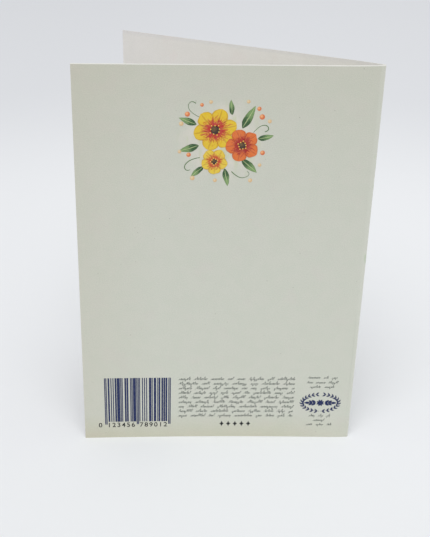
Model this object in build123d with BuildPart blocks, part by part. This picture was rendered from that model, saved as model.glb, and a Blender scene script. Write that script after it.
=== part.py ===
from build123d import *
import math
import os

# Folded greeting card, standing part open on the cut edges of its two covers.
# One sheet of board with one crease. The frame is +Z up along the fold, the
# back cover faces -Y with the fold at +X, and the front cover lies behind it.

# The sheet, in millimetres
card_height = 148.0
cover_width = 104.0
board = 0.4

# The crease: its inside radius, and how far the pressed bead stands out of it
crease_inside_radius = 0.25
bead_rise = 0.1

# How the card stands. Angles are in degrees and seen from above. Foot is the
# lower edge and head the upper edge: the sheet is a little warped between them.
opening_foot = 29.0
opening_head = 29.8
fold_heading_foot = -16.6
fold_heading_head = -14.6
fold_lean_x = 1.05
fold_lean_y = 1.1

# Beside the crease each cover rounds in over a short strip by its turn, and
# from there it bows by a small angle up to its free edge, inwards if negative
back_turn_foot = 4.1
back_turn_head = 7.7
back_turn_length_foot = 9.7
back_turn_length_head = 15.7
back_bow_foot = -3.6
back_bow_head = -0.1
front_turn_foot = 5.7
front_turn_head = 7.3
front_turn_length_foot = 12.0
front_turn_length_head = 14.8
front_bow_foot = -1.5
front_bow_head = -0.6

crease_outside_radius = crease_inside_radius + board
bead_radius = crease_inside_radius + bead_rise


def direction(heading):
    """Unit vector at a heading, in degrees from +X."""
    return Vector(math.cos(math.radians(heading)), math.sin(math.radians(heading)))


def bend(start, heading, length, turn):
    """A run of the sheet's outside that turns evenly over its length."""
    if turn == 0:
        return Line(start, start + direction(heading) * length)
    return JernArc(start, direction(heading), length / math.radians(abs(turn)), turn)


def cover(fold, fold_heading, side, opening, turn, turn_length, bow):
    """Outside of one cover, from the middle of the fold to the free edge.

    side is 1 where the cover leaves the fold to the left of the fold's
    heading, and -1 where it leaves to the right.
    """
    heading = fold_heading + 90 * side
    crease_turn = 90 - opening / 2 - turn
    crease_length = crease_outside_radius * math.radians(crease_turn)
    crease = bend(fold, heading, crease_length, crease_turn * side)
    heading += crease_turn * side
    shoulder = bend(crease @ 1, heading, turn_length, turn * side)
    heading += turn * side
    panel_length = cover_width - crease_length - turn_length
    panel = bend(shoulder @ 1, heading, panel_length, bow * side)
    return [crease, shoulder, panel]


def sheet_section(level, fold, fold_heading, opening, back, front):
    """The sheet cut level: both covers, the crease and the bead inside it."""
    with BuildSketch(Plane.XY.offset(level)) as section:
        with BuildLine() as outline:
            cover(fold, fold_heading, -1, opening, *back)
            cover(fold, fold_heading, 1, opening, *front)
            offset(amount=board, side=Side.RIGHT, closed=True)
        make_face()
        crease_centre = fold - direction(fold_heading) * crease_outside_radius
        with Locations(Location(crease_centre, (0, 0, fold_heading))):
            Circle(bead_radius)
    return section


foot = sheet_section(
    0,
    Vector(0, 0),
    fold_heading_foot,
    opening_foot,
    (back_turn_foot, back_turn_length_foot, back_bow_foot),
    (front_turn_foot, front_turn_length_foot, front_bow_foot),
)
head = sheet_section(
    card_height,
    Vector(fold_lean_x, fold_lean_y),
    fold_heading_head,
    opening_head,
    (back_turn_head, back_turn_length_head, back_bow_head),
    (front_turn_head, front_turn_length_head, front_bow_head),
)

with BuildPart() as sheet:
    loft(sections=[foot.sketch, head.sketch], ruled=True)

# The card's place in its own frame: the middle of its footprint box is on Z
footprint = sheet.part.bounding_box().center()

with BuildPart() as folded_card:
    with Locations((-footprint.X, -footprint.Y, 0)):
        add(sheet.part)

os.makedirs("parts", exist_ok=True)
folded_card.part.label = "folded_card"
export_step(folded_card.part, "parts/folded_card.step")
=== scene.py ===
# A greeting card: one sheet of tinted recycled board, folded once and stood open on the
# cut edges of its two covers. The back cover, with the small print on it, faces the camera.

import math
import random

import bpy
from mathutils import Euler, Matrix, Vector


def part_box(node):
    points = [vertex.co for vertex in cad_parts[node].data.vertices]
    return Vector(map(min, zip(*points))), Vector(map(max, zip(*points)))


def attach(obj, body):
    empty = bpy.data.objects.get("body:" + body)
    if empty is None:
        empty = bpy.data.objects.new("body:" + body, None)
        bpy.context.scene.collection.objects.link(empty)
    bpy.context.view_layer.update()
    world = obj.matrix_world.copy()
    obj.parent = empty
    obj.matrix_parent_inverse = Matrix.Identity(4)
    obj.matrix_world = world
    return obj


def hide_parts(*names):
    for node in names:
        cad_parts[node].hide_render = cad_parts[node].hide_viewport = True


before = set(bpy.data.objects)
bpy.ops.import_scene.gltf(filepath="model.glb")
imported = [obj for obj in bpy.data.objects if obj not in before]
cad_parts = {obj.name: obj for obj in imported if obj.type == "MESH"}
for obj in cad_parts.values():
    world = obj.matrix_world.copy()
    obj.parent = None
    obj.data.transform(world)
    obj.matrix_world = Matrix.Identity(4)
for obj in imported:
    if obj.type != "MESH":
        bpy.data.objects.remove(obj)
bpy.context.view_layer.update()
mm = 0.001

# The board. The real sheet is recycled board, printed outside with a pale sage tint, cut
# by a guillotine, then scored and folded once. Here it is made flat, print side up, and
# laid round the fold: X runs from the back cover's free edge, Y up the card, Z outwards.

card_height = 148 * mm
cover_width = 104 * mm
board_thickness = 0.4 * mm
crease_outside_radius = 0.65 * mm
bead_radius = 0.35 * mm
bead_ends_short = 0.02 * mm
bead_sides = 16
edge_easing = 0.05 * mm
corner_angle = math.radians(60)

# How the sheet stands at its foot and at its head, in plan. Angles are in degrees. Each
# cover has the turn and the length of the strip beside the crease, and then its bow
foot_form = {
    "fold": Vector((0, 0)),
    "fold_heading": -16.6,
    "opening": 29.0,
    "back": (4.1, 9.7 * mm, -3.6),
    "front": (5.7, 12.0 * mm, -1.5),
}
head_form = {
    "fold": Vector((1.05, 1.1)) * mm,
    "fold_heading": -14.6,
    "opening": 29.8,
    "back": (7.7, 15.7 * mm, -0.1),
    "front": (7.3, 14.8 * mm, -0.6),
}
crease_steps = 24
strip_steps = 16
panel_steps = 32
sheet_columns = 221
sheet_rows = 61


def cover_points(form, cover, side):
    """Plan points along one cover's outside, from the middle of the fold to the free edge."""
    strip_turn, strip_length, bow = form[cover]
    crease_turn = 90 - form["opening"] / 2 - strip_turn
    crease_length = crease_outside_radius * math.radians(crease_turn)
    panel_length = cover_width - crease_length - strip_length
    heading = math.radians(form["fold_heading"] + 90 * side)
    points = [form["fold"]]
    for length, turn, steps in (
        (crease_length, crease_turn, crease_steps),
        (strip_length, strip_turn, strip_steps),
        (panel_length, bow, panel_steps),
    ):
        half_step_turn = math.radians(turn) * side / steps / 2
        for _ in range(steps):
            heading += half_step_turn
            ahead = Vector((math.cos(heading), math.sin(heading)))
            points.append(points[-1] + ahead * length / steps)
            heading += half_step_turn
    return points


def section_line(name, form):
    """The sheet's outside at one level, as a line from free edge to free edge."""
    back = cover_points(form, "back", -1)
    front = cover_points(form, "front", 1)
    points = back[::-1] + front[1:]
    line = bpy.data.curves.new(name, "CURVE")
    line.dimensions = "3D"
    run = line.splines.new("POLY")
    run.points.add(len(points) - 1)
    for point, place in zip(run.points, points):
        point.co = (place.x, place.y, 0, 1)
    return bpy.data.objects.new(name, line)


foot_line = section_line("foot_line", foot_form)
head_line = section_line("head_line", head_form)


def link(output, socket):
    """Joins an output to an input in the same tree."""
    socket.id_data.links.new(output, socket)


def add_node(kind, inputs=None, tree=None, **settings):
    """The outputs of a new node, whose inputs are fed, by name or number, sockets or values.

    It joins the tree of the first socket that feeds it. One that no socket feeds is given
    its tree.
    """
    inputs = inputs or {}
    sockets = [value for value in inputs.values() if isinstance(value, bpy.types.NodeSocket)]
    made = (tree or sockets[0].id_data).nodes.new(kind)
    for name, value in settings.items():
        setattr(made, name, value)
    for key, value in inputs.items():
        if isinstance(value, bpy.types.NodeSocket):
            link(value, made.inputs[key])
        else:
            made.inputs[key].default_value = value
    return made.outputs


def maths(operation, *values):
    """The result of a Math node."""
    return add_node("ShaderNodeMath", dict(enumerate(values)), operation=operation)[0]


def times(first, second):
    """The product of two values."""
    return maths("MULTIPLY", first, second)


def vector_maths(operation, *values):
    """The result of a Vector Math node, whose Scale factor is its fourth input."""
    inputs = dict(enumerate(values))
    if operation == "SCALE":
        inputs = {0: values[0], 3: values[1]}
    made = add_node("ShaderNodeVectorMath", inputs, operation=operation)
    return made["Value" if operation in ("LENGTH", "DISTANCE") else "Vector"]


def split(vector):
    """The X, Y and Z of a vector."""
    return add_node("ShaderNodeSeparateXYZ", {0: vector})


def joined(x=0.0, y=0.0, z=0.0):
    """The vector of an X, a Y and a Z."""
    return add_node("ShaderNodeCombineXYZ", {0: x, 1: y, 2: z})[0]


def here(tree):
    """The place of each point of the geometry."""
    return add_node("GeometryNodeInputPosition", tree=tree)[0]


def moved(geometry, place):
    """The geometry with each point at a new place."""
    return add_node("GeometryNodeSetPosition", {0: geometry, "Position": place})[0]


def new_group(name, kind, inputs, outputs):
    """A node group with its named sockets, and the nodes inside that read and write them."""
    tree = bpy.data.node_groups.new(name, kind)
    for in_out, sockets in (("INPUT", inputs), ("OUTPUT", outputs)):
        for title, socket_kind, *value in sockets:
            socket = tree.interface.new_socket(
                title, in_out=in_out, socket_type="NodeSocket" + socket_kind
            )
            if value:
                socket.default_value = value[0]
    given = tree.nodes.new("NodeGroupInput").outputs
    result = tree.nodes.new("NodeGroupOutput").inputs
    return tree, given, result


def shaping_group(name, *inputs):
    """A Geometry Nodes group that takes geometry, and its named inputs, and gives geometry."""
    geometry = ("Geometry", "Geometry")
    return new_group(name, "GeometryNodeTree", [geometry, *inputs], [geometry])


lay_on_card, given, result = shaping_group("lay_on_card")
tree = lay_on_card
flat = split(here(tree))
level_places = []
for line in (foot_line, head_line):
    section = add_node("GeometryNodeObjectInfo", {"Object": line}, tree)["Geometry"]
    sampled = {"Curves": section, "Length": flat["X"]}
    there = add_node("GeometryNodeSampleCurve", sampled, mode="LENGTH")
    outwards = vector_maths("CROSS_PRODUCT", there["Tangent"], (0, 0, 1))
    proud = vector_maths("SCALE", outwards, flat["Z"])
    level_places.append(vector_maths("ADD", there["Position"], proud))
levels = {0: maths("DIVIDE", flat["Y"], card_height), 4: level_places[0], 5: level_places[1]}
laid = add_node("ShaderNodeMix", levels, data_type="VECTOR", clamp_factor=False)[1]
raised = vector_maths("ADD", laid, joined(z=flat["Y"]))
link(moved(given["Geometry"], raised), result[0])


def on_card(geometry):
    """Flat geometry laid on the card."""
    return add_node("GeometryNodeGroup", {0: geometry}, node_tree=lay_on_card)[0]


def with_uv_map(geometry, name, value):
    """The geometry with a value kept as a UV map."""
    inputs = {"Geometry": geometry, "Name": name, "Value": value}
    kind = "GeometryNodeStoreNamedAttribute"
    return add_node(kind, inputs, data_type="FLOAT2", domain="CORNER")[0]


def with_sheet_map(geometry):
    """The geometry with its flat places kept, in millimetres, for the patterns."""
    return with_uv_map(geometry, "sheet", vector_maths("SCALE", here(geometry.id_data), 1 / mm))


def with_material(geometry, material, selection=True):
    """The geometry with a material on its selected faces."""
    inputs = {"Geometry": geometry, "Selection": selection, "Material": material}
    return add_node("GeometryNodeSetMaterial", inputs)[0]


def realized(geometry):
    """The geometry with its instances made real."""
    return add_node("GeometryNodeRealizeInstances", {0: geometry})[0]


folded_sheet, given, result = shaping_group(
    "folded_sheet",
    ("Sheet Width", "Float", 2 * cover_width),
    ("Card Height", "Float", card_height),
    ("Board Thickness", "Float", board_thickness),
    ("Columns", "Int", sheet_columns),
    ("Rows", "Int", sheet_rows),
    ("Crease Radius", "Float", crease_outside_radius),
    ("Bead Radius", "Float", bead_radius),
    ("Bead Ends Short", "Float", bead_ends_short),
    ("Bead Sides", "Int", bead_sides),
    ("Outside", "Material"),
    ("Inside", "Material"),
    ("Cut Edge", "Material"),
)
tree = folded_sheet
lattice = {"Vertices X": given["Columns"], "Vertices Y": given["Rows"], "Vertices Z": 2}
block = add_node("GeometryNodeMeshCube", {"Size": (2, 1, 1), **lattice})["Mesh"]
# From -1 to 1 across the sheet, the columns crowd towards the crease by a cubic rule
grid = split(here(tree))
crowded = maths("POWER", maths("ABSOLUTE", grid["X"]), 3.0)
crowded = times(crowded, maths("SIGN", grid["X"]))
flat_place = joined(
    times(maths("MULTIPLY_ADD", crowded, 0.5, 0.5), given["Sheet Width"]),
    times(maths("ADD", grid["Y"], 0.5), given["Card Height"]),
    times(maths("SUBTRACT", grid["Z"], 0.5), given["Board Thickness"]),
)
sheet = moved(block, flat_place)
# The faces that look out of the flat sheet are its outside, and those that look back its inside
facing = split(add_node("GeometryNodeInputNormal", tree=tree)[0])["Z"]
sheet = with_material(sheet, given["Cut Edge"])
sheet = with_material(sheet, given["Outside"], maths("GREATER_THAN", facing, 0.5))
sheet = with_material(sheet, given["Inside"], maths("LESS_THAN", facing, -0.5))
corner = add_node("GeometryNodeInputMeshEdgeAngle", tree=tree)[0]
sharp = {"Selection": maths("GREATER_THAN", corner, corner_angle), "Shade Smooth": False}
sheet = add_node("GeometryNodeSetShadeSmooth", {0: sheet, **sharp}, domain="EDGE")[0]
# The pressed bead fills the inside of the crease, and ends a hair short of the cut edges
crease_middle = times(given["Sheet Width"], 0.5)
crease_depth = times(given["Crease Radius"], -1.0)
bead_top = maths("SUBTRACT", given["Card Height"], given["Bead Ends Short"])
bead_run = {
    "Start": joined(crease_middle, given["Bead Ends Short"], crease_depth),
    "End": joined(crease_middle, bead_top, crease_depth),
}
bead_line = add_node("GeometryNodeCurvePrimitiveLine", bead_run)[0]
bead_round = {"Resolution": given["Bead Sides"], "Radius": given["Bead Radius"]}
bead_form = {
    "Curve": on_card(bead_line),
    "Profile Curve": add_node("GeometryNodeCurvePrimitiveCircle", bead_round)[0],
    "Fill Caps": True,
}
bead = add_node("GeometryNodeCurveToMesh", bead_form)[0]
sheet = on_card(with_sheet_map(sheet))
bead = with_material(bead, given["Inside"])
together = tree.nodes.new("GeometryNodeJoinGeometry")
link(sheet, together.inputs[0])
link(bead, together.inputs[0])
link(realized(together.outputs[0]), result[0])


def new_object(name, data):
    """A new object in the scene."""
    made = bpy.data.objects.new(name, data)
    bpy.context.scene.collection.objects.link(made)
    return made


def drafted(name, data, tree, values):
    """A new object with a Geometry Nodes modifier, whose inputs are set by their names."""
    draft = new_object(name, data)
    modifier = draft.modifiers.new(tree.name, "NODES")
    modifier.node_group = tree
    for item in tree.interface.items_tree:
        if item.in_out == "INPUT" and item.name in values:
            modifier[item.identifier] = values[item.name]
    return draft


def plain_mesh(draft):
    """The mesh that a draft comes out as, with its modifiers applied. The draft is removed."""
    evaluated = draft.evaluated_get(bpy.context.evaluated_depsgraph_get())
    mesh = bpy.data.meshes.new_from_object(evaluated)
    bpy.data.objects.remove(draft)
    return mesh


def finished(draft, name):
    """The draft as a plain mesh that rides on the card."""
    mesh = plain_mesh(draft)
    mesh.name = name
    piece = new_object(name, mesh)
    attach(piece, "root")
    return piece


def colour(red, green, blue):
    """A colour written in the 0 to 255 values that it should show, as a linear one."""
    channels = []
    for value in (red, green, blue):
        share = value / 255
        linear = share / 12.92 if share <= 0.04045 else ((share + 0.055) / 1.055) ** 2.4
        channels.append(linear)
    return (*channels, 1)


def mixed(factor, first, second, blend="MIX"):
    """The colour result of a Mix node."""
    inputs = {0: factor, 6: first, 7: second}
    return add_node("ShaderNodeMix", inputs, data_type="RGBA", blend_type=blend)[2]


def layered(base, layers, blend="MIX"):
    """A colour under layers, each with its share and its tone."""
    for share, tone in layers:
        base = mixed(share, base, tone, blend)
    return base


def noise(place, scale, detail=2.0, roughness=0.5, output="Fac"):
    """The value of a Noise Texture, from 0 to 1, or its colour."""
    inputs = {"Vector": place, "Scale": scale, "Detail": detail, "Roughness": roughness}
    return add_node("ShaderNodeTexNoise", inputs)[output]


def ramp(value, low, high, to_low=0.0, to_high=1.0, smooth=True):
    """A value mapped from one range to another, and held at its ends."""
    inputs = {0: value, 1: low, 2: high, 3: to_low, 4: to_high}
    rise = "SMOOTHSTEP" if smooth else "LINEAR"
    return add_node("ShaderNodeMapRange", inputs, interpolation_type=rise)[0]


# Recycled stock, shared by every face of the board: cloudy pulp with a rare blush, short
# fibres in two directions, scattered specks, and a fine tooth that the light catches
stock_tones = ("Pulp", "Cloud", "Blush", "Speck")
stock_shares = ("Cloud Share", "Blush Share", "Fibre Share", "Speck Share", "Grain Share")
stock_inputs = [("Place", "Vector")]
stock_inputs += [(title, "Color") for title in stock_tones]
stock_inputs += [(title, "Float") for title in stock_shares]
recycled_stock, given, result = new_group(
    "recycled_stock", "ShaderNodeTree", stock_inputs, [("Colour", "Color"), ("Height", "Float")]
)
place = given["Place"]
clouds = ramp(noise(place, 0.16, 5.0, 0.62), 0.4, 0.6)
far_place = vector_maths("ADD", place, (90.0, 31.0, 12.0))
blushes = ramp(noise(far_place, 0.11, 4.0, 0.6), 0.54, 0.66)
bends = vector_maths("SCALE", noise(place, 0.6, output="Color"), 1.6)
bent_place = vector_maths("ADD", place, bends)
fibres = []
for lie in (0.5, -1.0):
    turning = {"Vector": bent_place, "Angle": lie}
    turned = add_node("ShaderNodeVectorRotate", turning, rotation_type="Z_AXIS")[0]
    drawn = vector_maths("MULTIPLY", turned, (0.7, 7.0, 1.0))
    fibres.append(ramp(noise(drawn, 1.0), 0.64, 0.74))
fibre_mask = maths("MAXIMUM", *fibres)
# Seven cells in ten have a speck, each of its own size and strength, and most are faint
cells = add_node("ShaderNodeTexVoronoi", {"Vector": place, "Scale": 0.36})
lot = add_node("ShaderNodeSeparateColor", {0: cells["Color"]})
speck_size = ramp(lot[1], 0.0, 1.0, 0.03, 0.065, smooth=False)
off_speck = maths("SUBTRACT", cells["Distance"], speck_size)
specks = ramp(off_speck, -0.02, 0.02, 1.0, 0.0)
specks = times(specks, maths("GREATER_THAN", lot[0], 0.3))
specks = times(specks, maths("POWER", lot[2], 1.5))
grain = ramp(noise(place, 2.8, 3.0, 0.6), 0.3, 0.7, 1.0, 0.0, smooth=False)
masks = (clouds, blushes, fibre_mask, specks, grain)
tones = (given["Cloud"], given["Blush"], given["Cloud"], given["Speck"], colour(0, 0, 0))
stock_layers = []
for title, mask, tone in zip(stock_shares, masks, tones):
    stock_layers.append((times(mask, given[title]), tone))
link(layered(given["Pulp"], stock_layers), result["Colour"])
tooth = noise(place, 3.2, 3.0)
link(maths("MULTIPLY_ADD", fibre_mask, 0.5, tooth), result["Height"])

stock_specular = 0.25
tooth_depth = 0.02 * mm


def mapped_place(tree, uv_map="sheet"):
    """Places from the piece's own UV map: on the flat sheet, in millimetres, or on a blade."""
    return add_node("ShaderNodeUVMap", tree=tree, uv_map=uv_map)[0]


def new_material(name, specular):
    """A new material, with its tree and its shader's inputs."""
    material = bpy.data.materials.new(name)
    material.use_nodes = True
    surface = material.node_tree.nodes["Principled BSDF"]
    surface.inputs["Specular IOR Level"].default_value = specular
    return material, material.node_tree, surface.inputs


def stock_finish(name, place_of, colours, shares, tooth):
    """A new material of recycled stock, with its tree, its shader's inputs and its colour."""
    material, tree, surface = new_material(name, stock_specular)
    values = dict(zip(stock_tones + stock_shares, colours + shares))
    values["Place"] = place_of(tree)
    stock = add_node("ShaderNodeGroup", values, node_tree=recycled_stock)
    link(ramp(stock["Height"], 0.2, 1.0, 0.95, 0.8), surface["Roughness"])
    relief = {"Height": stock["Height"], "Strength": tooth, "Distance": tooth_depth}
    link(add_node("ShaderNodeBump", relief)[0], surface["Normal"])
    return material, tree, surface, stock["Colour"]


def off_fold_and_edge(across):
    """How far a place is from the fold, and from its cover's free edge, in millimetres."""
    off_fold = maths("ABSOLUTE", maths("SUBTRACT", across, cover_width / mm))
    return off_fold, maths("SUBTRACT", cover_width / mm, off_fold)


tinted_outside, tree, tinted_surface, tint = stock_finish(
    "tinted_outside",
    mapped_place,
    (colour(209, 211, 200), colour(204, 209, 196), colour(210, 206, 199), colour(112, 108, 92)),
    (0.35, 0.2, 0.25, 0.42, 0.12),
    0.2,
)
flat_place = mapped_place(tree)
place = split(flat_place)
off_fold, off_edge = off_fold_and_edge(place["X"])
# All distances here are in millimetres. The tint is painted darker towards the head, a painted
# shade for the light that falls off there. It is warmer at the free edges and yellower at the foot,
# most of all away from the fold
to_head_shade = ramp(place["Y"], 45.0, 150.0, smooth=False)
to_foot = ramp(place["Y"], 0.5, 11.0, 1.0, 0.0, smooth=False)
tint_and_shade_layers = (
    # painted shade towards the head, for the light that falls off there
    (maths("POWER", to_head_shade, 2.3), colour(248, 246, 243)),
    (ramp(off_edge, 0.0, 28.0, 1.0, 0.0, smooth=False), colour(252, 250, 248)),
    (times(to_foot, ramp(off_edge, 70.0, 104.0, 1.0, 0.4)), colour(249, 246, 237)),
)
tint = layered(tint, tint_and_shade_layers, "MULTIPLY")
# The strip beside the fold is paler, and on the fold itself the tint is worn and painted paler
# still: partly wear, partly painted light that cancels the shade where the crease turns from the
# light. A few green traces lie there too. Strip and traces fade towards the foot, where a painted
# shade line along the score's groove shows faintly instead
above_foot = ramp(place["Y"], 38.0, 60.0, 0.15, 1.0)
off_strip = maths("ADD", off_fold, noise(flat_place, 0.5))
strip = times(ramp(off_strip, 1.9, 2.7, 0.3, 0.0), above_foot)
off_score = maths("ABSOLUTE", maths("SUBTRACT", off_fold, 1.7))
low_down = ramp(place["Y"], 45.0, 60.0, 1.0, 0.0)
score_shade_strength = times(low_down, ramp(place["Y"], 8.0, 30.0, 0.3, 1.0))
score_groove_shade = times(ramp(off_score, 0.1, 0.5, 0.18, 0.0), score_shade_strength)
off_wear_and_light = maths("ADD", off_fold, times(noise(flat_place, 0.8), 0.5))
trace_place = vector_maths("MULTIPLY_ADD", flat_place, (0.6, 0.11, 1.0), (0.0, -1.93, 0.0))
traces = ramp(noise(trace_place, 1.0, 3.0), 0.58, 0.65)
traces = times(traces, ramp(off_fold, 0.5, 1.8, 0.5, 0.0))
# At the head a thin ragged rim of the tint is painted pale, a painted highlight that widens the
# bright line of the lit top cut edge
below_head = maths("SUBTRACT", card_height / mm, place["Y"])
off_head_highlight = maths("MULTIPLY_ADD", noise(flat_place, 1.7), -0.1, below_head)
wear_and_painted_light = (
    (strip, colour(209, 211, 201)),
    # painted shade along the score's groove
    (score_groove_shade, colour(182, 186, 175)),
    # the worn fold, whitened further as painted light against the crease's shade
    (ramp(off_wear_and_light, 0.2, 1.0, 0.85, 0.0), colour(240, 242, 235)),
    # painted highlight beside the lit top cut edge
    (ramp(off_head_highlight, 0.1, 0.27, 0.95, 0.0), colour(233, 233, 227)),
    (times(traces, above_foot), colour(172, 192, 158)),
)
link(layered(tint, wear_and_painted_light), tinted_surface["Base Color"])


def inside_place(tree):
    """Flat places on the inside, moved so that its pulp isn't clouded as the outside's is."""
    return vector_maths("ADD", mapped_place(tree), (300.0, 40.0, 7.0))


plain_inside, tree, surface, plain = stock_finish(
    "plain_inside",
    inside_place,
    (colour(243, 241, 235), colour(239, 238, 230), colour(243, 235, 229), colour(150, 140, 128)),
    (0.35, 0.3, 0.15, 0.35, 0.05),
    0.2,
)
place = split(mapped_place(tree))
off_fold, off_edge = off_fold_and_edge(place["X"])
# It is painted a little darker towards the free edges, which leaves it lighter towards the fold:
# painted light against the shade in the fold. A mild painted shade deepens it along the fold, and a
# thin painted shade lies along the head against the extra light there
inside_painted_light = (
    # painted light: darker at the free edges, lighter towards the fold
    (ramp(off_edge, 0.0, 70.0, 1.0, 0.0, smooth=False), colour(240, 239, 241)),
    # painted shade deeper along the fold
    (ramp(off_edge, 10.0, 90.0), colour(248, 248, 248)),
    # painted shade along the head
    (ramp(place["Y"], 146.0, 147.8), colour(249, 249, 251)),
)
link(layered(plain, inside_painted_light, "MULTIPLY"), surface["Base Color"])


def through_place(tree):
    """Places in the card itself, in millimetres, for the cut edges."""
    solid = add_node("ShaderNodeTexCoord", tree=tree)["Object"]
    return vector_maths("SCALE", solid, 1 / mm)


cut_edge, tree, surface, plain = stock_finish(
    "cut_edge",
    through_place,
    (colour(236, 236, 230), colour(230, 230, 223), colour(233, 229, 223), colour(192, 188, 176)),
    (0.8, 0.25, 0.4, 0.3, 0.12),
    0.8,
)
# The front cover's cut edges are painted a little darker, a painted shade that keeps the far top edge
# from showing as a pale line
past_fold = ramp(split(mapped_place(tree))["X"], 104.0, 110.0)
far_edge_shade = mixed(past_fold, plain, colour(236, 237, 241), "MULTIPLY")
link(far_edge_shade, surface["Base Color"])

sheet_values = {"Outside": tinted_outside, "Inside": plain_inside, "Cut Edge": cut_edge}
draft = drafted("folded_card_draft", bpy.data.meshes.new("flat"), folded_sheet, sheet_values)
evaluated = draft.evaluated_get(bpy.context.evaluated_depsgraph_get())
to_card_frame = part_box("folded_card")[0] - Vector(evaluated.bound_box[0])
for line in (foot_line, head_line):
    line.data.transform(Matrix.Translation((to_card_frame.x, to_card_frame.y, 0)))
easing = draft.modifiers.new("guillotined_edges", "BEVEL")
easing.width = edge_easing
easing.segments = 2
easing.angle_limit = corner_angle
card = finished(draft, "card_sheet")
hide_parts("folded_card")

# The bar code, at the foot of the back cover beside its free edge. The real one is a film
# of navy ink. This one counts up from nought, so it stands for no article.

# Ink stands this high on the board, goes this far into it, and overlaps in layers this thick
ink_film = 0.03 * mm
ink_bite = 0.01 * mm
ink_layer = 0.012 * mm
ink_specular = 0.3
code_digits = "0123456789012"
code_module = 0.2668 * mm
code_left = 7.93 * mm
code_head = 27.5 * mm
bar_foot = 7.42 * mm
guard_foot = 6.15 * mm
ink_spread = 0.055 * mm
# The widths of gap, bar, gap and bar that stand for each digit from 0 to 9, in modules
digit_widths = ("3211", "2221", "2122", "1411", "1132", "1231", "1114", "1312", "1213", "3112")


def code_runs(digits):
    """The code's runs from left to right, each as its modules, if it is a bar, and its foot."""
    end_guard = [(1, step != 1, guard_foot) for step in range(3)]
    middle_guard = [(1, step % 2 == 1, guard_foot) for step in range(5)]
    halves = []
    for half, bar_steps in ((digits[1:7], (1, 3)), (digits[7:], (0, 2))):
        runs = []
        for digit in half:
            for step, width in enumerate(digit_widths[int(digit)]):
                runs.append((int(width), step in bar_steps, bar_foot))
        halves.append(runs)
    return end_guard + halves[0] + middle_guard + halves[1] + end_guard


def flat_bars():
    """The bars as flat upright strips, print side up."""
    corners = []
    left = code_left
    for modules, is_bar, foot in code_runs(code_digits):
        right = left + modules * code_module
        if is_bar:
            edges = (left - ink_spread, right + ink_spread)
            corners += [(edge, foot, ink_film) for edge in edges]
            corners += [(edge, code_head, ink_film) for edge in edges[::-1]]
        left = right
    mesh = bpy.data.meshes.new("flat_bars")
    strips = [tuple(range(n, n + 4)) for n in range(0, len(corners), 4)]
    mesh.from_pydata(corners, [], strips)
    return mesh


# Ink on board: it is a little uneven, and the board's tooth shows through it in pinholes
ink_on_board, given, result = new_group(
    "ink_on_board",
    "ShaderNodeTree",
    [
        ("Place", "Vector"),
        ("Ink", "Color"),
        ("Board", "Color", colour(200, 202, 192)),
        ("Lifted", "Float"),
    ],
    [("Colour", "Color"), ("Roughness", "Float")],
)
pinholes = ramp(noise(given["Place"], 4.5, 3.0), 0.58, 0.72)
pinholes = times(pinholes, given["Lifted"])
density = ramp(noise(given["Place"], 0.9), 0.3, 0.7, 0.05, 0.0)
bare = maths("MAXIMUM", pinholes, density)
link(mixed(bare, given["Ink"], given["Board"]), result["Colour"])
link(ramp(pinholes, 0.0, 0.5, 0.55, 0.85), result["Roughness"])


def printing_ink(name, values):
    """A new material of ink printed on the board, with its tree and the input for its ink."""
    material, tree, surface = new_material(name, ink_specular)
    values = {"Place": mapped_place(tree), **values}
    look = add_node("ShaderNodeGroup", values, node_tree=ink_on_board)
    link(look["Colour"], surface["Base Color"])
    link(look["Roughness"], surface["Roughness"])
    return material, tree, look[0].node.inputs["Ink"]


def end_as_print(geometry, ink, result):
    """Ends a tree of flat print: it keeps its places, is laid on the card and inked."""
    placed = on_card(with_sheet_map(realized(geometry)))
    link(with_material(placed, ink), result[0])


def print_piece(name, data, tree, values, layers=0):
    """A finished piece of print: the tree's flat work, laid, with its ink down to the board."""
    draft = drafted(name + "_draft", data, tree, values)
    film = draft.modifiers.new("ink_film", "SOLIDIFY")
    film.thickness = ink_film + ink_bite + layers * ink_layer
    film.offset = -1
    return finished(draft, name)


flat_print, given, result = shaping_group("flat_print", ("Ink", "Material"))
end_as_print(given["Geometry"], given["Ink"], result)
navy_ink = printing_ink("navy_ink", {"Ink": colour(8, 30, 84), "Lifted": 0.2})[0]
print_piece("code_bars", flat_bars(), flat_print, {"Ink": navy_ink})

# The figures under the bars: plain numerals in black ink, the first one outside the bars
# and the rest in two groups of six, each figure as wide as the seven modules that it counts.

numeral_height = 2.0 * mm
numeral_foot = 4.95 * mm
height_of_type = 0.7
advance_of_type = 0.5
numeral_modules = 7
numeral_boldness = 0.035 * mm
numeral_smoothness = 6
# Each group's figures, and where they start: the later two by the modules that they pass
numeral_groups = (
    ("first", code_digits[0], 5.3 * mm),
    ("left", code_digits[1:7], code_left + 3 * code_module),
    ("right", code_digits[7:], code_left + 50 * code_module),
)


def flat_figures(name, figures, left):
    """Numerals as flat filled shapes, print side up, in their place on the sheet."""
    type_run = bpy.data.curves.new(name, "FONT")
    type_run.body = figures
    type_run.size = numeral_height / height_of_type
    type_run.space_character = numeral_modules * code_module / (type_run.size * advance_of_type)
    type_run.offset = numeral_boldness
    type_run.resolution_u = numeral_smoothness
    mesh = plain_mesh(new_object(name, type_run))
    mesh.transform(Matrix.Translation((left, numeral_foot, ink_film)))
    return mesh


black_ink = printing_ink("black_ink", {"Ink": colour(26, 26, 32), "Lifted": 0.2})[0]
for group, figures, left in numeral_groups:
    mesh = flat_figures("figures_" + group, figures, left)
    print_piece("code_figures_" + group, mesh, flat_print, {"Ink": black_ink})

# The small script: nine full lines beside the bar code, and three short ones above and
# below the wreath. They are sloped pen waves that hold no letters, printed small in a thin
# grey green ink.

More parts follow.
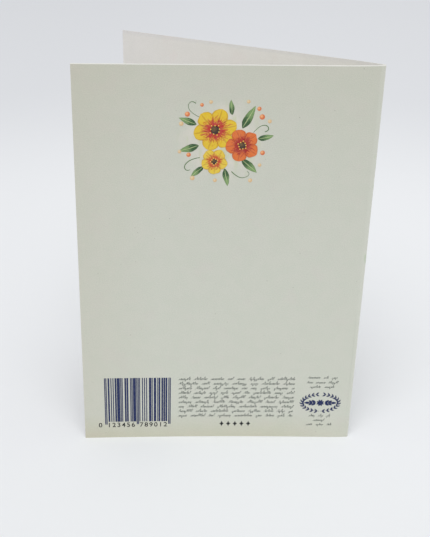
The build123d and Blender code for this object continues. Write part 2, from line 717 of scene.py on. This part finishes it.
x_height = 0.9 * mm
script_slope = 0.52
line_pitch = 2.107 * mm
block_left = 36.2 * mm
block_width = 44.7 * mm
block_first_foot = 26.25 * mm
block_lines = 9
column_middle = 91.58 * mm
column_size = 0.85
# The foot and the width of each short line, in millimetres
column_lines = ((27.1, 11.3), (24.9, 12.0), (22.9, 9.3), (9.65, 8.5), (7.55, 4.7), (5.45, 9.9))
word_lengths = (4, 5, 6, 8, 9, 10, 12)
shortest_word = 3
word_gap = 1.4 * mm
script_strokes = (0.045 * mm, 0.13 * mm)
# A wave rises to its crest and falls to its trough: the usual one, a tall one and a low
# one. Each is its advance, crest and trough, in x-heights, and its odds
wave_forms = (
    ((0.6, 1.35, -0.3), 62),
    ((0.68, 2.3, -0.35), 25),
    ((0.7, 1.25, -1.15), 13),
)
# How far along its advance a wave has its crest and its trough, and where a word's pen ends
crest_along = 0.45
trough_along = 0.95
last_rise = 0.4


def script_words(draw, left, foot, width, size=1.0):
    """The pen paths of one line, whose groups of waves are spread to fill its width."""
    x_step = x_height * size
    forms, odds = zip(*wave_forms)
    mean_advance = sum(odd * form[0] for form, odd in wave_forms) / sum(odds)
    words = []
    room = width
    while room > 2 * mean_advance * x_step:
        fitting = int(room / (mean_advance * x_step))
        waves = draw.choice(word_lengths)
        if fitting - waves < shortest_word + 1:
            waves = fitting
        words.append([])
        for form in draw.choices(forms, odds, k=waves):
            words[-1].append([draw.uniform(0.9, 1.1) * measure * x_step for measure in form])
        room -= sum(wave[0] for wave in words[-1]) + word_gap * size
    gap = word_gap * size + (room + word_gap * size) / max(len(words) - 1, 1)
    paths = []
    for word in words:
        places = [(left, foot)]
        for advance, crest, trough in word:
            for along, rise in ((crest_along, crest), (trough_along, trough)):
                place = left + along * advance + rise * script_slope
                places.append((place, foot + rise))
            left += advance
        places.append((left, foot + last_rise * x_step))
        paths.append(places)
        left += gap
    return paths


def pen_curve(name, paths, steps):
    """Pen paths as smooth flat splines, print side up."""
    curve = bpy.data.curves.new(name, "CURVE")
    curve.dimensions = "3D"
    curve.twist_mode = "Z_UP"
    curve.resolution_u = steps
    for places in paths:
        path = curve.splines.new("NURBS")
        path.points.add(len(places) - 1)
        for point, (across, up) in zip(path.points, places):
            point.co = (across, up, ink_film, 1)
        path.order_u = 3
        path.use_endpoint_u = True
    return curve


pen_strokes, given, result = shaping_group(
    "pen_strokes",
    ("Light Stroke", "Float"),
    ("Pressed Stroke", "Float"),
    ("Ink", "Material"),
)
tree = pen_strokes
# The pen is light on its way up and pressed on its way down
rise = split(add_node("GeometryNodeInputTangent", tree=tree)[0])["Y"]
stroke = ramp(rise, 0.3, -0.8, given["Light Stroke"], given["Pressed Stroke"])
nib_ends = {"Start": (-0.5, 0, 0), "End": (0.5, 0, 0)}
nib = add_node("GeometryNodeCurvePrimitiveLine", nib_ends, tree)[0]
drawn = {"Curve": given["Geometry"], "Profile Curve": nib, "Scale": stroke}
ribbon = add_node("GeometryNodeCurveToMesh", drawn)[0]
end_as_print(ribbon, given["Ink"], result)


def pen_piece(name, paths, ink, strokes, steps=6):
    """A finished piece of pen work, with the widths of its light and its pressed strokes."""
    values = {"Light Stroke": strokes[0], "Pressed Stroke": strokes[1], "Ink": ink}
    print_piece(name, pen_curve(name + "_paths", paths, steps), pen_strokes, values)


draw = random.Random(12)
block_words = []
for line in range(block_lines):
    foot = block_first_foot - line * line_pitch
    block_words += script_words(draw, block_left, foot, block_width)
column_words = []
for foot, width in column_lines:
    left = column_middle - width * mm / 2
    column_words += script_words(draw, left, foot * mm, width * mm, column_size)
script_ink = printing_ink("script_ink", {"Ink": colour(54, 66, 64), "Lifted": 0.25})[0]
pen_piece("script_block", block_words, script_ink, script_strokes)
column_strokes = [stroke * column_size for stroke in script_strokes]
pen_piece("script_column", column_words, script_ink, column_strokes)

# The row of five bold ornaments under the script. They are plain lozenges with hollowed
# sides, each a solid film of black ink printed straight on the tint.

ornament_middle = (58.6 * mm, 6.15 * mm)
ornament_pitch = 2.62 * mm
ornament_count = 5
ornament_width = 1.75 * mm
ornament_height = 2.5 * mm
ornament_hollow = 0.5


def repeated(points, shape, **inputs):
    """The shape repeated at the points."""
    inputs = {"Points": points, "Instance": shape, **inputs}
    return add_node("GeometryNodeInstanceOnPoints", inputs)[0]


ornament_row, given, result = shaping_group(
    "ornament_row",
    ("Count", "Int", ornament_count),
    ("Start", "Vector"),
    ("Pitch", "Float", ornament_pitch),
    ("Half Size", "Vector"),
    ("Hollow", "Float", ornament_hollow),
    ("Ink", "Material"),
)
spread = {"Start Location": given["Start"], "Offset": joined(given["Pitch"])}
row = add_node("GeometryNodeMeshLine", {"Count": given["Count"], **spread})[0]
star = {"Points": 4, "Inner Radius": given["Hollow"], "Outer Radius": 1.0}
lozenge = add_node("GeometryNodeCurveStar", star)["Curve"]
lozenge = add_node("GeometryNodeFillCurve", {0: lozenge}, mode="NGONS")[0]
lozenges = repeated(row, lozenge, Scale=given["Half Size"])
end_as_print(lozenges, given["Ink"], result)
row_start = ornament_middle[0] - (ornament_count - 1) / 2 * ornament_pitch
row_values = {
    "Start": (row_start, ornament_middle[1], ink_film),
    "Half Size": (ornament_width / 2, ornament_height / 2, 1),
    "Ink": black_ink,
}
print_piece("ornament_row", bpy.data.meshes.new("flat_row"), ornament_row, row_values)

# The wreath between the short lines: two leafy branches in an oval, round a rosette with a
# twig at each side. It is printed with the bar code, in the same navy ink.

wreath_middle = (91.58 * mm, 16.1 * mm)
wreath_half_width = 7.1 * mm
wreath_half_height = 3.9 * mm
wreath_leaf_pairs = 12
wreath_leaf = (1.45 * mm, 0.55 * mm)
wreath_splay = 38
# The bearings of each branch's first and last leaves, in degrees round the oval from its
# foot, and how many degrees before the first leaf the branch starts
wreath_ends = (8, 165)
branch_lead = 6
branch_steps = 16
branch_strokes = (0.09 * mm, 0.09 * mm)
rosette_petals = 8
rosette_petal = (1.6 * mm, 0.85 * mm)
# Each twig leaf's distance from the wreath's middle, its splay and its length
twig_leaves = ((1.9, 42, 1.9), (1.9, -42, 1.9), (3.1, 36, 1.8), (3.1, -36, 1.8), (4.2, 0, 2.1))
twig_leaf_width = 1.0 * mm
twig_reach = (1.6 * mm, 4.6 * mm)
blade_lattice = {"Size X": 1.0, "Size Y": 1.0, "Vertices X": 25, "Vertices Y": 9}
# A blade keeps this share of its width at its ends, and wavers 0.45 times a millimetre
blunt_share = 0.02
waver_scale = 0.45 / mm


def marked_points(name, marks, titles):
    """Flat points, each from its X and Y, the values that it carries by title, and its layer."""
    mesh = bpy.data.meshes.new(name)
    places = [(mark[0], mark[1], ink_film + mark[-1] * ink_layer) for mark in marks]
    mesh.from_pydata(places, [], [])
    for column, title in enumerate(titles, 2):
        values = [mark[column] for mark in marks]
        mesh.attributes.new(title, "FLOAT", "POINT").data.foreach_set("value", values)
    return mesh


def marked_value(tree, title):
    """The value that each point carries by this title."""
    kind = "GeometryNodeInputNamedAttribute"
    return add_node(kind, {"Name": title}, tree, data_type="FLOAT")[0]


blade_marks = ("turn", "length", "width")
printed_blades, given, result = shaping_group(
    "printed_blades",
    ("Widest At", "Float", 0.4),
    ("Fullness", "Float"),
    ("Waver", "Float", 0.0),
    ("Ink", "Material"),
)
tree = printed_blades
unit_grid = add_node("GeometryNodeMeshGrid", blade_lattice, tree)["Mesh"]
spot = split(here(tree))
# From heel to tip, the steps crowd towards both ends
along = maths("SINE", times(spot["X"], math.pi))
along = maths("MULTIPLY_ADD", along, 0.5, 0.5)
# The blade's width swells as half a wave that peaks at its widest place
widest_log = maths("LOGARITHM", given["Widest At"], math.e)
peaked = maths("POWER", along, maths("DIVIDE", math.log(0.5), widest_log))
swell = maths("MAXIMUM", maths("SINE", times(peaked, math.pi)), 0.0)
swell = maths("MAXIMUM", maths("POWER", swell, given["Fullness"]), blunt_share)
on_blade = joined(along, times(spot["Y"], 2.0))
blade = with_uv_map(unit_grid, "blade", on_blade)
blade = moved(blade, joined(along, times(spot["Y"], swell)))
turn, length, width = [marked_value(tree, title) for title in blade_marks]
rotation = add_node("FunctionNodeEulerToRotation", {0: joined(z=turn)})[0]
blade_size = joined(length, width, 1.0)
blades = realized(repeated(given["Geometry"], blade, Rotation=rotation, Scale=blade_size))
swells = vector_maths("SCALE", here(tree), waver_scale)
shift = vector_maths("SUBTRACT", noise(swells, 1.0, 1.0, output="Color"), (0.5, 0.5, 0.5))
shift = vector_maths("MULTIPLY", shift, (1, 1, 0))
wavering = {0: blades, "Offset": vector_maths("SCALE", shift, given["Waver"])}
blades = add_node("GeometryNodeSetPosition", wavering)[0]
end_as_print(blades, given["Ink"], result)


def blade_piece(name, blades, values, layers):
    """A finished piece of printed blades, in so many layers of ink."""
    points = marked_points(name + "_points", blades, blade_marks)
    print_piece(name, points, printed_blades, values, layers)


def branch_place(side, bearing):
    """A place on the wreath's oval, by its bearing in degrees from the foot, and its heading."""
    turn = math.radians(bearing)
    x = wreath_middle[0] + side * wreath_half_width * math.sin(turn)
    y = wreath_middle[1] - wreath_half_height * math.cos(turn)
    rise = wreath_half_height * math.sin(turn)
    run = side * wreath_half_width * math.cos(turn)
    return x, y, math.degrees(math.atan2(rise, run))


def wreath_blades():
    """The leaves of both branches, the petals of the rosette and the leaves of both twigs."""
    blades = []
    first, last = wreath_ends
    for side in (-1, 1):
        for pair in range(wreath_leaf_pairs):
            bearing = first + (last - first) * pair / (wreath_leaf_pairs - 1)
            x, y, ahead = branch_place(side, bearing)
            for layer, splay in enumerate((-wreath_splay, wreath_splay)):
                blades.append((x, y, math.radians(ahead + splay), *wreath_leaf, 1 + layer))
    for petal in range(rosette_petals):
        turn = math.radians(360 * (petal + 0.5) / rosette_petals)
        blades.append((*wreath_middle, turn, *rosette_petal, 1 + petal % 2))
    for side in (-1, 1):
        for layer, (away, splay, length) in enumerate(twig_leaves):
            x = wreath_middle[0] + side * away * mm
            turn = math.radians(splay if side == 1 else 180 - splay)
            blades.append((x, wreath_middle[1], turn, length * mm, twig_leaf_width, 1 + layer))
    return blades


def wreath_stems():
    """The lines of both branches and both twigs."""
    paths = []
    start = wreath_ends[0] - branch_lead
    sweep = wreath_ends[1] - start
    for side in (-1, 1):
        bearings = [start + sweep * step / branch_steps for step in range(branch_steps + 1)]
        paths.append([branch_place(side, bearing)[:2] for bearing in bearings])
        twig = [wreath_middle[0] + side * reach for reach in twig_reach]
        paths.append([(x, wreath_middle[1]) for x in twig])
    return paths


blade_piece("wreath_leaves", wreath_blades(), {"Ink": navy_ink, "Fullness": 0.8}, 2)
pen_piece("wreath_stems", wreath_stems(), navy_ink, branch_strokes, 4)

# The posy, high on the back cover: three round blossoms with leaves, tendrils and berries,
# printed in clear yellows, reds and greens that run together like watercolour.

posy_middle = (50.6 * mm, 122.1 * mm)
# Each blossom's place, petal length and width, petals, turn, heart size and colours
blossoms = (
    ("back_blossom", (-3.0, 3.8), (7.4, 5.6), 6, 12, 1.5, ((188, 50, 44), (224, 190, 44))),
    ("side_blossom", (6.4, -1.6), (5.8, 5.0), 5, 40, 1.2, ((162, 38, 36), (220, 114, 50))),
    ("low_blossom", (-3.0, -7.4), (4.6, 4.1), 5, -16, 1.0, ((194, 70, 44), (226, 198, 66))),
)
# The stamens stand by turns on the heart's rim and off it, by its radius
stamens = 9
stamen_radius = 0.24 * mm
stamen_reaches = (1.0, 1.28)
# Each leaf's heel, turn, length and width
posy_leaves = (
    (6.2, 4.4, 62, 8.8, 2.8), (2.6, 9.0, 96, 5.2, 1.9), (-9.3, 5.6, 158, 6.4, 2.3),
    (-8.4, -1.8, 196, 7.0, 2.6), (-6.8, -9.2, 222, 5.6, 2.1), (0.6, -10.0, 282, 6.4, 2.2),
    (6.4, -6.6, 318, 7.2, 2.6), (11.6, 0.6, 14, 5.4, 2.0),
)
# Each tendril's control places, from its heel to its curl
tendrils = (
    ((-8.0, 8.0), (-11.0, 9.5), (-12.5, 12.0), (-11.0, 14.0), (-9.6, 12.9)),
    ((10.0, 3.0), (12.0, 5.5), (14.8, 5.5), (15.2, 3.6), (13.8, 3.2)),
    ((3.0, -11.0), (5.5, -13.5), (8.5, -13.0), (9.4, -11.6), (8.4, -10.8)),
    ((-8.0, -6.0), (-11.0, -6.5), (-13.5, -9.0), (-12.5, -11.0), (-11.2, -10.4)),
)
tendril_strokes = (0.16 * mm, 0.3 * mm)
# Each berry's place and radius: the ripe ones, and the paler ones further out
ripe_berries = (
    (-12.4, 9.2, 0.85), (-7.6, 12.4, 0.6), (12.7, 8.4, 0.9),
    (11.6, 11.2, 0.7), (13.4, -4.2, 0.8), (-11.8, -5.0, 0.75),
)
pale_berries = (
    (-14.4, 5.9, 0.75), (-4.6, 13.4, 0.6), (7.9, 13.6, 0.6),
    (15.3, 6.9, 0.65), (12.6, -8.6, 0.6), (9.6, -14.2, 0.7),
    (-14.9, -3.9, 0.6), (-10.4, -13.4, 0.8), (-2.6, -14.2, 0.65),
)
# The ink layers of the berries, the hearts and the stamens, above the leaves and petals
berry_layer = 2
heart_layer = 12
stamen_layer = 13
posy_lifted = 0.25

# A blade painted with a loaded brush: one colour runs from its heel into the other at its
# tip, with fine lines along it, a darker rim and a rib
brushed_blade, given, result = new_group(
    "brushed_blade",
    "ShaderNodeTree",
    [
        ("Blade", "Vector"),
        ("Place", "Vector"),
        ("Heel", "Color"),
        ("Tip", "Color"),
        ("Rib", "Color"),
        ("Rib Share", "Float"),
        ("Reach", "Float", 0.55),
    ],
    [("Colour", "Color")],
)
blade_place = split(given["Blade"])
drift = noise(given["Place"], 0.25, 1.0)
strand_place = joined(
    times(blade_place["X"], 1.3), times(blade_place["Y"], 3.2), times(drift, 9.0)
)
strands = noise(strand_place, 1.6, 2.0)
heel_reach = maths("MULTIPLY_ADD", strands, 1.1, given["Reach"])
up_blade = maths("MULTIPLY_ADD", blade_place["X"], 1.1, 0.55)
run_out = ramp(maths("SUBTRACT", heel_reach, up_blade), -0.18, 0.22)
fine_place = vector_maths("MULTIPLY", strand_place, (0.8, 5.0, 1.0))
fine_lines = ramp(noise(fine_place, 1.6), 0.55, 0.7, 0.0, 0.3)
off_rib = maths("ABSOLUTE", blade_place["Y"])
rib = times(ramp(off_rib, 0.05, 0.14, 1.0, 0.0), given["Rib Share"])
painted = layered(given["Tip"], ((run_out, given["Heel"]), (fine_lines, given["Heel"])))
darker = mixed(1.0, painted, colour(190, 150, 120), "MULTIPLY")
rim_and_rib = ((ramp(off_rib, 0.72, 1.0, 0.0, 0.45), darker), (rib, given["Rib"]))
link(layered(painted, rim_and_rib), result["Colour"])

# A dot laid with a loaded brush: the colour has settled at its rim and left a light middle
brushed_dot, given, result = new_group(
    "brushed_dot",
    "ShaderNodeTree",
    [("Blade", "Vector"), ("Middle", "Color"), ("Rim", "Color")],
    [("Colour", "Color")],
)
off_light = vector_maths("DISTANCE", given["Blade"], (-0.28, 0.3, 0.0))
settled = mixed(ramp(off_light, 0.1, 1.0), given["Middle"], given["Rim"])
link(settled, result["Colour"])


def brushed_ink(name, brush, uv_maps, values):
    """An ink material whose colour a brush lays, by its values and places on its UV maps."""
    material, tree, ink = printing_ink(name, {"Lifted": posy_lifted})
    places = {title: mapped_place(tree, uv_map) for title, uv_map in uv_maps.items()}
    brushed = add_node("ShaderNodeGroup", {**places, **values}, node_tree=brush)
    link(brushed["Colour"], ink)
    return material


def blade_ink(name, heel, tip, rib, rib_share):
    """The ink of a leaf or a petal."""
    values = {"Heel": heel, "Tip": tip, "Rib": rib, "Rib Share": rib_share}
    return brushed_ink(name, brushed_blade, {"Blade": "blade", "Place": "sheet"}, values)


def at_posy(x, y):
    """A place on the sheet, from millimetres off the posy's middle."""
    return posy_middle[0] + x * mm, posy_middle[1] + y * mm


leaf_ink = blade_ink("leaf_ink", colour(52, 88, 50), colour(122, 154, 98), colour(196, 208, 150), 0.7)
leaves = []
for number, (x, y, turn, length, width) in enumerate(posy_leaves):
    leaves.append((*at_posy(x, y), math.radians(turn), length * mm, width * mm, number % 2))
leaf_values = {"Ink": leaf_ink, "Widest At": 0.42, "Fullness": 0.9, "Waver": 0.5 * mm}
blade_piece("posy_leaves", leaves, leaf_values, 1)
stem_ink = printing_ink("stem_ink", {"Ink": colour(86, 118, 72), "Lifted": posy_lifted})[0]
stem_paths = [[at_posy(x, y) for x, y in places] for places in tendrils]
pen_piece("posy_tendrils", stem_paths, stem_ink, tendril_strokes, 12)

hearts = []
heart_stamens = []
for number, (name, middle, petal, petals, turn, heart, colours) in enumerate(blossoms):
    heel, tip = [colour(*tone) for tone in colours]
    petal_ink = blade_ink(name + "_ink", heel, tip, colour(140, 50, 38), 0.3)
    length, width = [size * mm for size in petal]
    blades = []
    for step in range(petals):
        # Petals that meet lie in different layers, so the last of an odd number has its own
        layer = 2 + 3 * number + (2 if step == petals - 1 and petals % 2 else step % 2)
        bearing = math.radians(turn + 360 * step / petals)
        blades.append((*at_posy(*middle), bearing, length, width, layer))
    petal_values = {"Ink": petal_ink, "Widest At": 0.66, "Fullness": 0.62, "Waver": 0.9 * mm}
    blade_piece(name, blades, petal_values, 4 + 3 * number)
    hearts.append((*at_posy(*middle), heart * mm, heart_layer))
    for step in range(stamens):
        bearing = math.radians(360 * step / stamens + turn)
        reach = heart * stamen_reaches[step % 2]
        x = middle[0] + reach * math.cos(bearing)
        y = middle[1] + reach * math.sin(bearing)
        heart_stamens.append((*at_posy(x, y), stamen_radius, stamen_layer))


def at_berries(berries):
    """Dots for the printed_dots tree, above the leaves."""
    return [(*at_posy(x, y), radius * mm, berry_layer) for x, y, radius in berries]


dot_inputs = (("Sides", "Int", 24), ("Ink", "Material"))
printed_dots, given, result = shaping_group("printed_dots", *dot_inputs)
tree = printed_dots
disc = {"Vertices": given["Sides"], "Radius": 1.0}
disc = add_node("GeometryNodeMeshCircle", disc, fill_type="NGON")[0]
disc = with_uv_map(disc, "blade", here(tree))
dots = repeated(given["Geometry"], disc, Scale=marked_value(tree, "radius"))
end_as_print(dots, given["Ink"], result)
for name, dots, middle, rim in (
    ("blossom_hearts", hearts, colour(104, 78, 44), colour(56, 40, 30)),
    ("blossom_stamens", heart_stamens, colour(244, 214, 110), colour(216, 160, 56)),
    ("ripe_berries", at_berries(ripe_berries), colour(240, 176, 122), colour(212, 112, 66)),
    ("pale_berries", at_berries(pale_berries), colour(226, 206, 168), colour(216, 180, 134)),
):
    tones = {"Middle": middle, "Rim": rim}
    ink = brushed_ink(name + "_ink", brushed_dot, {"Blade": "blade"}, tones)
    points = marked_points(name + "_points", dots, ("radius",))
    print_piece(name, points, printed_dots, {"Ink": ink}, dots[0][-1])

# Round the posy the board has a thin wash of cream with a little green, which fades out
bare = tinted_surface["Base Color"].links[0].from_socket
posy_place = (posy_middle[0] / mm, posy_middle[1] / mm, 0.0)
off_posy = vector_maths("SUBTRACT", mapped_place(tinted_outside.node_tree), posy_place)
blotches = noise(off_posy, 0.16, 3.0)
off_wash = maths("MULTIPLY_ADD", blotches, -9.0, vector_maths("LENGTH", off_posy))
wash = ramp(off_wash, 4.0, 12.0, 0.75, 0.0)
wash = times(wash, ramp(blotches, 0.25, 0.6, 0.4, 1.0))
drawn_up = vector_maths("MULTIPLY", off_posy, (1.0, 0.35, 1.0))
greens = ramp(noise(drawn_up, 0.3, 2.0), 0.5, 0.62)
wash_colour = mixed(greens, colour(216, 211, 200), colour(202, 205, 176))
link(mixed(wash, bare, wash_colour), tinted_surface["Base Color"])

# The stage: a plain pale floor that runs on behind as the backdrop, soft even light, and
# the camera where the photograph was taken from.

floor_size = 60.0
near_tone = colour(236, 238, 241)
far_tone = colour(221, 223, 227)
half = floor_size / 2
floor_mesh = bpy.data.meshes.new("floor")
floor_corners = [(-half, -half, 0), (half, -half, 0), (half, half, 0), (-half, half, 0)]
floor_mesh.from_pydata(floor_corners, [], [(0, 1, 2, 3)])
floor = new_object("floor", floor_mesh)
floor_paper, tree, surface = new_material("floor_paper", 0.1)
spot = add_node("ShaderNodeTexCoord", tree=tree)["Object"]
away = vector_maths("LENGTH", spot)
# The floor is painted darker away from the card and a little darker to the left, painted shade for
# the light that falls off there
tone = mixed(ramp(away, 0.22, 0.54), near_tone, far_tone)
floor_painted_shades = (
    (ramp(away, 0.5, 1.0, smooth=False), colour(250, 250, 250)),
    (ramp(split(spot)["X"], -0.15, 0.1, 1.0, 0.0), colour(252, 252, 252)),
)
link(layered(tone, floor_painted_shades, "MULTIPLY"), surface["Base Color"])
surface["Roughness"].default_value = 0.9
floor_mesh.materials.append(floor_paper)

# The room gives an even white light. Where it is seen itself, it has the far floor's tone
room_strength = 0.57
room_tone = colour(217, 219, 223)
world = bpy.data.worlds.new("studio")
world.use_nodes = True
bpy.context.scene.world = world
tree = world.node_tree
room_light = tree.nodes["Background"]
room_light.inputs["Color"].default_value = (1, 1, 1, 1)
room_light.inputs["Strength"].default_value = room_strength
seen = add_node("ShaderNodeLightPath", tree=tree)["Is Camera Ray"]
seen_room = add_node("ShaderNodeBackground", {"Color": room_tone}, tree)[0]
room = add_node("ShaderNodeMixShader", {0: seen, 1: room_light.outputs[0], 2: seen_room})
link(room[0], tree.nodes["World Output"].inputs["Surface"])

key_strength = 1.65
key_spread = math.radians(50)
key_direction = Vector((0.1, 1.0, -1.6))
key_light = bpy.data.lights.new("key_light", "SUN")
key_light.energy = key_strength
key_light.angle = key_spread
key = new_object("key_light", key_light)
key.rotation_euler = key_direction.to_track_quat("-Z", "Y").to_euler()

photo_height_px = 537
focal_length_px = 925.7
camera_place = Vector((-17.414, -328.383, 218.338)) * mm
camera_turn = math.radians(-2.76)
camera_tilt_down = math.radians(25.592)
camera_roll = math.radians(1.229)

lens = bpy.data.cameras.new("camera")
lens.sensor_width = 36
lens.lens = focal_length_px / photo_height_px * lens.sensor_width
lens.clip_start = 10 * mm
camera = new_object("camera", lens)
aimed = Euler((math.pi / 2 - camera_tilt_down, 0, camera_turn)).to_matrix()
camera.rotation_euler = (aimed @ Matrix.Rotation(camera_roll, 3, "Z")).to_euler()
camera.location = camera_place
bpy.context.scene.camera = camera
bpy.context.scene.view_settings.view_transform = "Standard"
